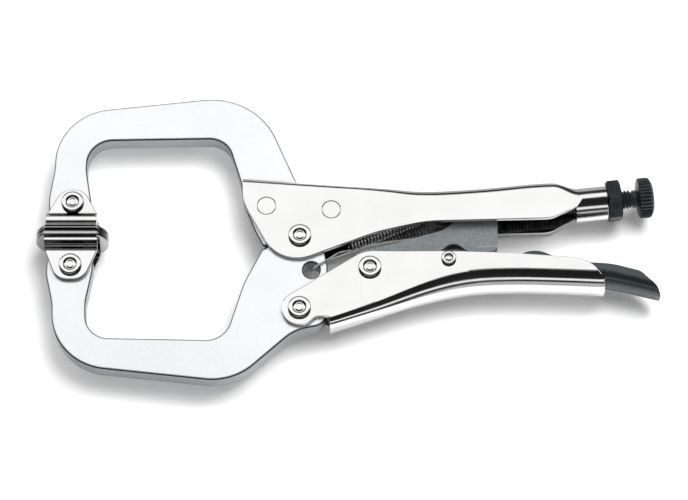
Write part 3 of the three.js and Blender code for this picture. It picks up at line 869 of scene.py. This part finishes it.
UPPER_STEPS = [(3.0, 0.15), (1.0, 0.5), (0.35, 1.0), (0.05, 1.7), (0.05, 2.4), (1.0, 2.9), (1.9, 3.5),
               (1.6, 4.2), (1.5, 5.0), (1.5, 5.8), (1.55, 6.6), (2.3, 7.3), (3.9, 8.5)]
LOWER_STEPS = [(3.0, 0.15), (1.2, 0.35), (0.3, 0.8), (0.1, 1.5), (0.1, 2.4), (1.0, 2.8), (2.0, 3.2),
               (2.1, 3.9), (2.15, 4.6), (3.0, 5.1), (3.9, 5.6), (4.1, 6.2), (4.3, 6.8)]


def pad_ear(hand, width, steps, fold, top):
    """A sheet folded up from the disc's edge, with a ridge, and joggled in against the jaw."""
    face = JAW_PLATE / 2 + 0.3
    root = 12.7
    out_knots = [(root - depth, y) for depth, y in steps]
    out_knots += [(face + PAD_SHEET + 0.25, fold * 0.92), (face + PAD_SHEET, fold)]
    in_knots = [(face, fold * 0.96), (face + 0.5, fold * 0.74), (root - 4.7, fold * 0.52),
                (root - 3.5, fold * 0.39), (root - 3.5, 2.6), (root - 3.9, 2.35)]
    rim = [(face + PAD_SHEET, top), (face, top)]
    outer = spline_points(out_knots, 84)
    inner = spline_points(in_knots, 30)
    line = [(hand * z, y) for z, y in outer + rim + inner]
    half = width / 2
    return skin("ear", [[(x, y, z) for z, y in line] for x in (-half, half)])


def swivel_pad(steps, width, fold, top, end_half, end_radius):
    """A round pad trimmed along two fold lines, with an ear on each; its face is at y = 0.15."""
    radius = 16.3
    disc = lathe("disc", [(0, 0.15), (radius - 0.6, 0.15), (radius - 0.15, 0.3), (radius, 0.75),
                          (radius, 1.85), (radius - 0.15, 2.2), (radius - 0.5, 2.35), (0, 2.35)], 96)
    disc.data.transform(Matrix.Rotation(-math.pi / 2, 4, "X"))
    face_out(disc)
    half = width / 2
    fold_line = math.sqrt(radius ** 2 - half ** 2) - 0.6
    side = half + 0.005
    trims = [block((-side, -10, fold_line), (side, 10, fold_line + 12)),
             block((-side, -10, -fold_line - 12), (side, 10, -fold_line))]
    carve(disc, "DIFFERENCE", *trims)
    plan = rounded([
        (-half, -2, 0),
        (half, -2, 0),
        (half, fold - 0.8, 2),
        (end_half, top, end_radius),
        (-end_half, top, end_radius),
        (-half, fold - 0.8, 2),
    ])
    body = pad_ear(1, width, steps, fold, top)
    carve(body, "UNION", pad_ear(-1, width, steps, fold, top))
    carve(body, "INTERSECT", prism(plan, 30))
    carve(body, "UNION", disc)
    carve(body, "DIFFERENCE", rod(0, 15.0, PAD_PIN_HOLE))
    return soften(body, PAD_EDGE)


def placed_pad(obj, turn):
    """The pad at the jaws' tips; half a turn makes it the lower one."""
    obj.data.transform(Matrix.Translation((TIP_X, CONTACT, 0)) @ Matrix.Rotation(turn, 4, "Z"))
    return obj


# ======== adjusting screw ========

def adjusting_screw():
    """A shank with a real helical thread, a neck and a stub in the knob."""
    tip = (LINK_END - BARREL_BACK[0]) / math.cos(SCREW_SLOPE) + 2.4
    sides = 48
    start, end = tip + 3.0, NECK_FROM - 0.3
    steps = int((end - start) / (THREAD_PITCH / 6))
    neck = 3.2
    stub_end = KNOB_TO - 2
    verts = []
    rings = [add_ring(verts, tip, [0])]
    for radius, height in [(THREAD_RADIUS * 0.5, tip + 0.4), (THREAD_RADIUS * 0.78, tip + 1.7)]:
        rings.append(add_ring(verts, height, [radius] * sides))
    for k in range(steps + 1):
        height = mix(start, end, k / steps)
        radii = []
        for i in range(sides):
            phase = (height / THREAD_PITCH - i / sides) % 1.0
            depth = 0.85 * min(abs(2 * phase - 1) * 1.25, 1.0)
            radii.append(THREAD_RADIUS - depth * smoothstep(height, start, start + 1.2))
        rings.append(add_ring(verts, height, radii))
    rings.append(add_ring(verts, NECK_FROM + 0.1, [neck] * sides))
    rings.append(add_ring(verts, stub_end, [neck] * sides))
    rings.append(add_ring(verts, stub_end, [0]))
    return along_screw(mesh_object("screw", verts, tube_faces(rings)))


def screw_knob():
    """A knob with straight ribs all round, a plain collar and a shallow dome."""
    ribs, per_rib = 34, 8
    sides = ribs * per_rib
    radius = 9.1
    bore = 3.3
    rib_depth = 0.85
    rows = [
        (bore, NECK_FROM + 0.7, 0), (3.9, NECK_FROM + 0.75, 0), (4.0, NECK_FROM + 0.9, 0),
        (4.0, KNOB_FROM - 0.1, 0), (4.3, KNOB_FROM, 0), (radius - 1.6, KNOB_FROM + 0.5, 0),
        (radius - 0.5, KNOB_FROM + 0.9, 0.5), (radius, KNOB_FROM + 1.5, 1), (radius, KNOB_TO - 2.3, 1),
        (radius - 0.3, KNOB_TO - 1.5, 0.7), (radius - 1.2, KNOB_TO - 0.9, 0),
        (radius - 1.8, KNOB_TO - 0.75, 0),
        (radius - 2.3, KNOB_TO - 0.3, 0), (radius * 0.5, KNOB_TO - 0.08, 0),
    ]
    grooves = [(0.5 - 0.5 * math.cos(2 * math.pi * i / per_rib)) ** 1.6 for i in range(sides)]
    verts, rings = [], []
    for base, height, share in rows:
        radii = [base - rib_depth * share * (1 - groove) for groove in grooves]
        rings.append(add_ring(verts, height, radii))
    rings.append(add_ring(verts, KNOB_TO, [0]))
    first = rings[0]
    inner = add_ring(verts, KNOB_TO - 1.7, [bore] * sides)
    faces = tube_faces(rings)
    for i in range(sides):
        j = (i + 1) % sides
        faces.append((first[j], first[i], inner[i], inner[j]))
    faces.append(tuple(inner))
    return along_screw(mesh_object("knob", verts, faces))


def lock_nut():
    """A hexagon with turned corners and a chamfered hole."""
    flat_half = 17.0 / 2
    corner = flat_half / math.cos(math.pi / 6)
    sides = 6 * 24
    drawn_turn = math.radians(42)
    hole = THREAD_RADIUS + 0.3
    rows = []
    for t in (0.0, 0.2, 0.45, 0.75, 1.0):
        rows.append((mix(corner - 1.35, corner, t), NUT_FROM + 0.8 * t * t))
    crown = rows + [(r, NUT_TO + NUT_FROM - h) for r, h in reversed(rows)]
    profile = [(hole, NUT_FROM + 0.4), (hole + 0.4, NUT_FROM), *crown,
               (hole + 0.4, NUT_TO), (hole, NUT_TO - 0.4)]
    flats = []
    for i in range(sides):
        angle = 2 * math.pi * i / sides
        flats.append(flat_half / math.cos((angle + math.pi / 6) % (math.pi / 3) - math.pi / 6))
    verts = []
    rings = [add_ring(verts, height, [min(limit, flat) for flat in flats]) for limit, height in profile]
    obj = mesh_object("nut", verts, tube_faces(rings + rings[:1]))
    obj.data.transform(Matrix.Rotation(drawn_turn, 4, "Z"))
    return along_screw(obj)


# ======== spring ========

def spring_line():
    """The wire's middle line: a hook through the jaw's lug, the coil, and a hook on the handle's tab."""
    start, end = Vector((22.6, -1.2, 0)), Vector((*SPRING_BACK, 0))
    along = end - start
    across = Vector((0, 0, 1)).cross(along).normalized()
    radius, turns, per_turn = 3.3, 24, 18
    hx, hy = HOOK_HOLE
    lead = [(hx, hy, -2.6), (hx, hy, 1.2), (hx + 0.5, hy + 0.3, 4.2), (hx + 2.6, hy + 1.6, 5.7),
            (hx + 8.6, hy + 5.6, 5.4), (18.0, -6.6, 3.4)]
    coil = []
    for k in range(turns * per_turn + 1):
        turn = 2 * math.pi * k / per_turn
        centre = start + along * (k / (turns * per_turn))
        coil.append(centre - across * (math.cos(turn) * radius) + Vector((0, 0, math.sin(turn) * radius)))
    tail = [(58.9, 11.6, 1.6), (62.0, 15.6, 2.4), (64.6, 16.2, 1.9), (65.0, 16.2, -1.6)]
    into = spline_points([*lead, tuple(coil[0])], 60)
    out = spline_points([tuple(coil[-1]), *tail], 40)
    return [Vector(p) for p in into[:-1]] + coil + [Vector(p) for p in out[1:]]


def jaw_spring():
    curve = bpy.data.curves.new("spring", "CURVE")
    curve.dimensions = "3D"
    points = spring_line()
    line = curve.splines.new("POLY")
    line.points.add(len(points) - 1)
    for point, place in zip(line.points, points):
        point.co = (*place, 1)
    curve.bevel_depth = WIRE_RADIUS
    curve.bevel_resolution = 3
    curve.use_fill_caps = True
    return from_curve("spring", curve)


# ======== the pieces ========

finish_piece(fixed_jaw(), "fixed_jaw")
finish_piece(movable_jaw(), "movable_jaw")
finish_piece(fixed_handle(), "fixed_handle")
finish_piece(movable_handle(), "movable_handle")
finish_piece(toggle_link(), "toggle_link")
finish_piece(release_lever(), "release_lever")
finish_piece(at(flush_rivet(), *FRONT_RIVET), "front_jaw_rivet")
finish_piece(at(flush_rivet(), *BACK_RIVET), "back_jaw_rivet")
for node, place, (pin, head), grip in [
        ("main_pivot_rivet", (0, 0), MAIN_RIVET, FLANGE_OUT),
        ("handle_pivot_rivet", HANDLE_PIN, MAIN_RIVET, FLANGE_OUT),
        ("link_rivet", LINK_PIVOT, MAIN_RIVET, FLANGE_OUT),
        ("lever_rivet", LEVER_PIVOT, LEVER_RIVET, lower_half(LEVER_PIVOT[0])),
        ("upper_pad_rivet", UPPER_PIN, PAD_RIVET, FLANGE_OUT),
        ("lower_pad_rivet", LOWER_PIN, PAD_RIVET, FLANGE_OUT)]:
    finish_piece(at(rivet(pin, head, grip), *place), node, 50, RIVET_LOOK)
upper_pad = swivel_pad(UPPER_STEPS, width=22.6, fold=10.2, top=21.6, end_half=4.6, end_radius=8)
finish_piece(placed_pad(upper_pad, 0), "upper_swivel_pad", 40, PAD_LOOK)
lower_pad = swivel_pad(LOWER_STEPS, width=23.6, fold=8.2, top=21.8, end_half=6.0, end_radius=7)
finish_piece(placed_pad(lower_pad, math.pi), "lower_swivel_pad", 40, PAD_LOOK)
finish_piece(adjusting_screw(), "adjusting_screw", 60)
finish_piece(screw_knob(), "screw_knob", 40)
finish_piece(lock_nut(), "lock_nut", 25)
finish_piece(jaw_spring(), "jaw_spring", 60)

bush = frame["nodes"]["threaded_bush"]
bush.data.materials.clear()
bush.data.materials.append(LOOKS["black_oxide"])


# ======== floor, light and camera ========

def pale_floor():
    half = 3
    corners = [(-half, -half, 0), (half, -half, 0), (half, half, 0), (-half, half, 0)]
    floor = mesh_object("floor", corners, [(0, 1, 2, 3)])
    floor.location.z = -0.4 * MM
    look = Look("floor", 0.0)
    cloud = look.levels(look.noise(6), 0.3, 0.7)
    look.colour(look.blend(cloud, (0.93, 0.93, 0.93), (0.95, 0.95, 0.95)))
    look.shader.inputs["Roughness"].default_value = 0.9
    look.shader.inputs["Specular IOR Level"].default_value = 0.1
    floor.data.materials.append(look.material)


def panel(name, direction, distance, size, power):
    """A soft light for the matt surfaces; the metal reflects the studio's walls instead."""
    light = bpy.data.lights.new(name, "AREA")
    light.shape = "RECTANGLE"
    light.size, light.size_y = size
    light.energy = power
    obj = bpy.data.objects.new(name, light)
    away = Vector(direction).normalized()
    obj.location = away * distance
    obj.rotation_euler = (-away).to_track_quat("-Z", "Y").to_euler()
    obj.visible_glossy = False
    bpy.context.scene.collection.objects.link(obj)


def studio():
    """Soft light from above, in a room of bright and dark bands along Y for the metal to reflect."""
    panel("key", (0.30, 0.30, 1.0), 1.5, (0.9, 0.9), 21)
    panel("overhead", (0.10, 0.12, 1.0), 1.3, (2.2, 2.2), 13)
    world = bpy.data.worlds.new("studio")
    world.use_nodes = True
    nodes, links = world.node_tree.nodes, world.node_tree.links
    place = nodes.new("ShaderNodeTexCoord")
    split = nodes.new("ShaderNodeSeparateXYZ")
    span = nodes.new("ShaderNodeMapRange")
    span.inputs["From Min"].default_value = -1.0
    ramp = nodes.new("ShaderNodeValToRGB")
    links.new(place.outputs["Generated"], split.inputs["Vector"])
    links.new(split.outputs["Y"], span.inputs["Value"])
    links.new(span.outputs["Result"], ramp.inputs["Fac"])
    stops = [(-1.0, 0.5), (-0.94, 0.6), (-0.91, 0.03), (-0.82, 0.02), (-0.79, 1.1), (-0.68, 1.1),
             (-0.64, 0.02), (0.18, 0.01), (0.26, 1.22), (0.56, 1.22), (0.64, 0.03), (0.86, 0.03),
             (0.90, 0.5), (1.0, 0.5)]
    ramp.color_ramp.elements.remove(ramp.color_ramp.elements[1])
    for i, (y, value) in enumerate(stops):
        position = (y + 1) / 2
        stop = ramp.color_ramp.elements[0] if i == 0 else ramp.color_ramp.elements.new(position)
        stop.position = position
        stop.color = (value, value, value, 1)
    background = nodes["Background"]
    links.new(ramp.outputs["Color"], background.inputs["Color"])
    background.inputs["Strength"].default_value = 1.0
    bpy.context.scene.world = world


def camera():
    """The camera looks down at the tool from the -Y side."""
    lens = bpy.data.cameras.new("camera")
    lens.sensor_width = 36
    lens.lens = 146.5
    lens.clip_end = 20
    obj = bpy.data.objects.new("camera", lens)
    tilt = math.radians(67.8)
    distance = 1.2524
    sight = Vector((0, math.cos(tilt), -math.sin(tilt)))
    target = PIVOT + Vector((19.7, -4.1, 0)) * MM
    obj.location = target - sight * distance
    obj.rotation_euler = sight.to_track_quat("-Z", "Y").to_euler()
    bpy.context.scene.collection.objects.link(obj)
    bpy.context.scene.camera = obj


pale_floor()
studio()
camera()
bpy.context.scene.view_settings.view_transform = "Standard"
